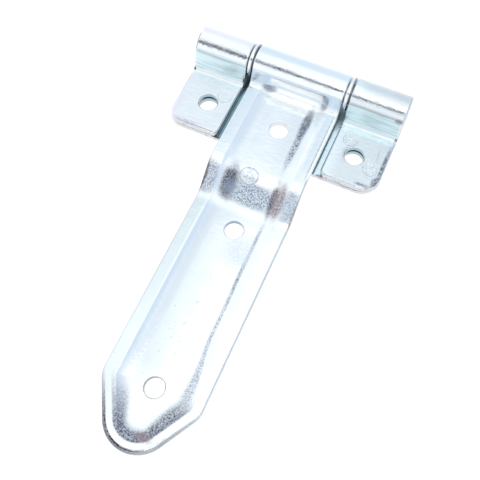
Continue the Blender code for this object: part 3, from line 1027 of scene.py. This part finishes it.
def paint_pan_end(coat):
    """A painted highlight on the pan's end wall with a blue painted reflection across it at the
    fold, and a painted highlight at its foot.
    """
    y, z = coat.y, coat.z
    off_middle = coat.off(coat.x, 0.0005)
    coat.pan_end = coat.zone(
        (z, 0.0082, 0.0092), (z, 0.0163, 0.0155), (off_middle, 0.0145, 0.0125),
        (y, -0.0125, -0.0115), (coat.ahead, -0.05, -0.25),
    )
    fold = coat.zone((z, 0.0084, 0.0096), (z, 0.0116, 0.0106), 0.8)
    coat.lay(coat.mix(fold, highlight_white, (0.68, 0.82, 0.92)), coat.pan_end)
    coat.lay(
        (0.95, 0.99, 1.0), (y, -0.0175, -0.0150), (z, 0.0092, 0.0082),
        (off_middle, 0.0135, 0.0105), coat.in_pan, coat.on_top,
    )


def paint_pan_walls(coat):
    """Painted dark reflections: a speckled line along the right wall, and the dark speckled band
    round the tip.
    """
    x, y, inset = coat.x, coat.y, coat.inset
    line_middle = coat.math(
        "SUBTRACT", coat.fade(y, -0.153, -0.130, 0.0145, 0.0124),
        coat.fade(y, -0.120, -0.095, 0.0, 0.0007),
    )
    line_width = coat.fade(y, -0.165, -0.135, 0.0030, 0.0010)
    coat.lay(
        (0.18, 0.23, 0.33),
        (coat.math("DIVIDE", coat.off(x, line_middle), line_width), 1.15, 0.45),
        (y, -0.068, -0.085), (y, -0.169, -0.157), coat.fade(y, -0.115, -0.095, 0.66, 1.0),
        coat.on_top, coat.flecked(0.35),
    )
    band_end = coat.math(
        "ADD", coat.fade(y, -0.184, -0.164, 0.0088, 0.0113),
        coat.fade(x, -0.004, 0.004, 0.0006, 0.0),
    )
    rightward = coat.math("MULTIPLY", coat.math("MAXIMUM", x, 0.0), -0.85)
    # Painted dark reflection on the walls round the tip.
    coat.band = coat.zone(
        (inset, 0.0040, 0.0050), (coat.math("SUBTRACT", inset, band_end), 0.0014, -0.0018),
        (coat.math("ADD", y, rightward), -0.155, -0.184), (y, -0.157, -0.169), coat.on_top, 0.95,
    )
    solid = coat.most(
        coat.fade(inset, 0.0058, 0.0072, 0.88, 0.0), coat.fade(x, -0.006, 0.002, 0.82, 0.0),
        coat.flecked(0.6),
    )
    coat.lay(coat.mix(coat.fleck, (0.20, 0.22, 0.28), (0.05, 0.06, 0.10)), coat.band, solid)


def paint_edges(coat):
    """Painted reflections on the edges: a dark edge round the tip, grey side edges, and over the
    lower plate a dark line beside a painted highlight.
    """
    x, y, inset, on_strap = coat.x, coat.y, coat.inset, coat.on_strap
    at_right = coat.fade(x, -0.004, 0.010, 1.0, 0.6)
    coat.lay(
        (0.05, 0.05, 0.06), on_strap, (inset, 0.0018, 0.0009), (y, -0.160, -0.181), at_right,
        coat.flecked(0.7),
    )
    over_plate = coat.zone((x, 0.0, 0.01), (y, -0.052, -0.046), on_strap)
    coat.lay(
        (0.34, 0.37, 0.42), on_strap, (inset, 0.0008, 0.0003),
        coat.fade(x, -0.01, 0.01, 0.35, 0.55), coat.outside(over_plate), coat.flecked(0.5),
    )
    coat.lay(
        (0.30, 0.38, 0.44), over_plate, (inset, 0.0009, 0.0012), (inset, 0.0020, 0.0015),
        coat.fade(y, -0.040, -0.012, 0.75, 0.45), coat.flecked(0.5),
    )
    # A painted highlight along the side edge over the lower plate.
    coat.bright_side = coat.zone(over_plate, (inset, 0.0012, 0.0009))
    coat.lay(highlight_white, coat.bright_side)


def paint_strap_holes(coat):
    """The walls of the holes, painted with their reflections. The one near the knuckle is a
    painted highlight, and the others are dark.
    """
    in_holes = []
    for reach, colour in zip(strap_holes, hole_wall_light_and_shade):
        centre = (0.0, -reach * 1000, 0.0)
        in_holes.append(coat.zone(coat.oval(centre, (5.6, 5.6, 50.0), 0.05), coat.on_wall))
        coat.lay(colour, in_holes[-1])
    coat.first_hole = in_holes[0]


def paint_crank(coat):
    """Specks in the lower pan, a bare stamped disc on the crank, and a painted highlight above."""
    specks = coat.oval((-2.0, -132.0, -4.8), (12.0, 30.0, 3.0), 0.4)
    coat.lay((0.48, 0.55, 0.62), (coat.noise(380.0, 3.0), 0.63, 0.70), specks, 0.5)
    disc = coat.zone(coat.oval(disc_place, (4.8, 4.0, 9.0), 0.06), coat.on_top)
    stain = (coat.noise(900.0, 2.0), 0.42, 0.60)
    coat.lay(coat.mix(stain, (0.84, 0.92, 0.95), (0.60, 0.70, 0.77)), disc)
    rim = coat.math("SUBTRACT", disc, coat.oval(disc_place, (4.1, 3.3, 9.0), 0.08))
    coat.lay((0.34, 0.40, 0.49), rim, coat.math("MULTIPLY_ADD", coat.fleck, 0.6, 0.3))
    coat.strain = coat.zone(coat.strain, coat.outside(disc))
    bright_patch = coat.oval((3.5, -56.3, 5.0), (8.5, 2.3, 9.0), 0.4)
    coat.above_crank = coat.zone(bright_patch, coat.on_top, coat.outside(disc))
    coat.lay(highlight_white, coat.above_crank)


def paint_strap(coat):
    y, z = coat.y, coat.z
    inset_map = add_node(coat.tree, "ShaderNodeUVMap", uv_map="inset")
    coat.inset = add_split(coat.tree, inset_map.outputs[0])[0]
    coat.on_strap = coat.zone((y, -0.010, -0.013))
    coat.in_pan = coat.zone((coat.inset, 0.0057, 0.0062))
    paint_rims(coat)
    paint_strap_knuckle(coat)
    paint_pan_end(coat)
    paint_pan_walls(coat)
    paint_edges(coat)
    paint_strap_holes(coat)
    coat.lay_light_and_shade(strap_light_and_shade)
    paint_crank(coat)
    coat.strain = coat.most(coat.strain, coat.zone(coat.band, 0.8))
    on_crank = coat.zone((y, -0.076, -0.072), (y, -0.050, -0.054))
    at_bend = coat.zone((y, -0.0125, -0.0115), (z, 0.0120, 0.0105))
    coat.haze = coat.most(on_crank, coat.strain, at_bend)
    coat.strain = coat.most(coat.strain, coat.zone(coat.on_barrel, 0.35))
    # Painted highlights are made partly diffuse, so that they read white.
    bright = coat.most(coat.pan_end, coat.bright_side, coat.above_crank, coat.first_hole)
    coat.highlight_diffuse = coat.zone(bright, 0.8)


edge_shares = (0.0, 0.03, 0.12, 0.28, 0.5, 0.75, 0.95)
insets = [strap_edge_round * share for share in edge_shares]
insets += [rim_middle, rim_width]
insets += [rim_width + pan_wall_run * (step + 1) / wall_steps for step in range(wall_steps)]
distances = down_the_web()
tip_height = strap_path[-1][1]
bm = bmesh.new()
inset_map = bm.loops.layers.uv.new("inset")
rings = []
for ring_number, inset in enumerate(insets):
    share = edge_shares[ring_number] if ring_number < len(edge_shares) else 1.0
    outline = tip_points(share, inset)
    halves = {}
    for side in (-1, 1):
        top = []
        under = []
        for station, distance in zip(strap_path, distances):
            fall = pan_depth * wall_fall(inset) * end_fall(distance)
            hidden = min(fall, hidden_room(distance))
            x = side * (strap_half_width - inset)
            y, z = aside(station, -fall - edge_drop(inset))
            top.append(bm.verts.new((x, y, z + pin_height)))
            y, z = aside(station, -hidden - sheet)
            under.append(bm.verts.new((x, y, z + pin_height)))
        fall = pan_depth * wall_fall(inset)
        for x, y, drop in outline[:-1]:
            z = tip_height + pin_height - fall
            top.append(bm.verts.new((side * x, y, z - drop)))
            under.append(bm.verts.new((side * x, y, z - sheet)))
        halves[side] = (top, under)
    z = tip_height + pin_height - pan_depth * wall_fall(inset)
    _, end_y, drop = outline[-1]
    end_top = bm.verts.new((0.0, end_y, z - drop))
    end_under = bm.verts.new((0.0, end_y, z - sheet))
    rings.append((
        halves[-1][0] + [end_top] + halves[1][0][::-1],
        halves[-1][1] + [end_under] + halves[1][1][::-1],
    ))
for layer in (0, 1):
    for wide, narrow in zip(rings, rings[1:]):
        for index in range(len(wide[layer]) - 1):
            bm.faces.new((
                wide[layer][index],
                wide[layer][index + 1],
                narrow[layer][index + 1],
                narrow[layer][index],
            ))
    foot = rings[-1][layer]
    middle = len(foot) // 2
    for index in range(middle - 1):
        bm.faces.new((foot[index], foot[index + 1], foot[-index - 2], foot[-index - 1]))
    bm.faces.new((foot[middle - 1], foot[middle], foot[middle + 1]))
top, under = rings[0]
for index in range(len(top) - 1):
    bm.faces.new((top[index], top[index + 1], under[index + 1], under[index]))
ends = [(top[0], under[0]) for top, under in rings]
ends += [(top[-1], under[-1]) for top, under in rings[::-1]]
for (top_a, under_a), (top_b, under_b) in zip(ends, ends[1:]):
    bm.faces.new((top_a, top_b, under_b, under_a))
inset_of = {}
for (top, under), inset in zip(rings, insets):
    inset_of.update((vert, inset) for vert in top + under)
for face in bm.faces:
    for loop in face.loops:
        loop[inset_map].uv = (inset_of[loop.vert], 0.0)
strap = add_piece("strap", bm, zinc("strap_zinc", strap_colour, 0.16, paint_strap))
strap_cuts = []
for number, reach in enumerate(strap_holes):
    floor_top = rim_height - pan_depth - (crank_drop if number else 0.0)
    strap_cuts.append(through_hole(0.0, -reach, strap_hole_diameter, floor_top - sheet, floor_top))
cut_and_smooth(strap, add_cutter("strap_cutter", strap_cuts))
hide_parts("strap_leaf")
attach(strap, "strap")


# A thin washer on each side keeps the strap's knuckle off the bracket's. It is a flat steel
# ring with rounded edges, it is zinc plated, and it sits on the pin.
washer_thickness = 0.0020
washer_middle = 0.02495
washer_radius = knuckle_radius
washer_bore = pin_diameter / 2 + pin_clearance
washer_round = 0.00035
washer_round_steps = 3
washer_sides = 120


def build_washers(tree, group):
    outer, bore = group["Outer Radius"], group["Bore Radius"]
    middle = add_math(tree, "MULTIPLY", add_math(tree, "ADD", outer, bore), 0.5)
    circle = add_circle(tree, washer_sides, middle)
    section = add_node(tree, "GeometryNodeCurvePrimitiveQuadrilateral", {
        "Width": add_math(tree, "SUBTRACT", outer, bore),
        "Height": group["Thickness"],
    })
    rounded = add_node(tree, "GeometryNodeFilletCurve", {
        0: section.outputs[0],
        "Radius": group["Edge Round"],
    })
    for socket in rounded.inputs:
        if socket.name == "Mode":
            socket.default_value = "Poly"
        if socket.name == "Count":
            socket.default_value = washer_round_steps
    turn = (0.0, math.pi / 2, 0.0)
    return sweep_on_points(tree, group, circle, rounded.outputs[0], turn)


def paint_washer_gap_shade(coat):
    """Painted shade darkens the rim beside each gap, more so on the right."""
    from_middle = coat.math("SUBTRACT", coat.math("ABSOLUTE", coat.x), washer_middle)
    rightward = coat.math("MULTIPLY", from_middle, coat.math("SIGN", coat.x))
    at_left = coat.zone((rightward, -0.0005, -0.0008), 0.35)
    at_right = coat.zone((rightward, 0.0003, 0.0007), 0.65)
    coat.lay((0.10, 0.12, 0.14), coat.most(at_left, at_right))


washers = nodes_piece(
    "washers",
    [(-washer_middle, 0.0, pin_height), (washer_middle, 0.0, pin_height)],
    build_washers,
    {
        "Outer Radius": washer_radius,
        "Bore Radius": washer_bore,
        "Thickness": washer_thickness,
        "Edge Round": washer_round,
        "Material": zinc("washer_zinc", (0.86, 0.90, 0.94), 0.14, paint_washer_gap_shade),
    },
)
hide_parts("washer_left", "washer_right")
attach(washers, "base")


# The pin is a plain round steel bar with small chamfers at its ends. It runs through all three
# knuckles and both washers, and stays with the bracket.
pin_half_length = 0.0535
pin_chamfer = 0.0008
pin_chamfer_steps = 2
pin_sides = 96
pin_smooth_angle = math.radians(30.0)

bm = bmesh.new()
bmesh.ops.create_cone(
    bm,
    cap_ends=True,
    segments=pin_sides,
    radius1=pin_diameter / 2,
    radius2=pin_diameter / 2,
    depth=2 * pin_half_length,
)
pin_rims = [edge for edge in bm.edges if abs(edge.verts[0].co.z - edge.verts[1].co.z) < touching]
bmesh.ops.bevel(
    bm, geom=pin_rims, offset=pin_chamfer, segments=pin_chamfer_steps, affect="EDGES",
)
bmesh.ops.rotate(bm, verts=bm.verts, matrix=Matrix.Rotation(math.pi / 2, 3, "Y"))
bmesh.ops.translate(bm, verts=bm.verts, vec=(0.0, 0.0, pin_height))
pin = add_piece("pin", bm, zinc("pin_steel", (0.62, 0.64, 0.67), 0.30))
pin.data.shade_smooth()
pin.data.set_sharp_from_angle(angle=pin_smooth_angle)
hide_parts("hinge_pin")
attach(pin, "base")


# The finished model keeps to the CAD model's box; both boxes are measured.
low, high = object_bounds()
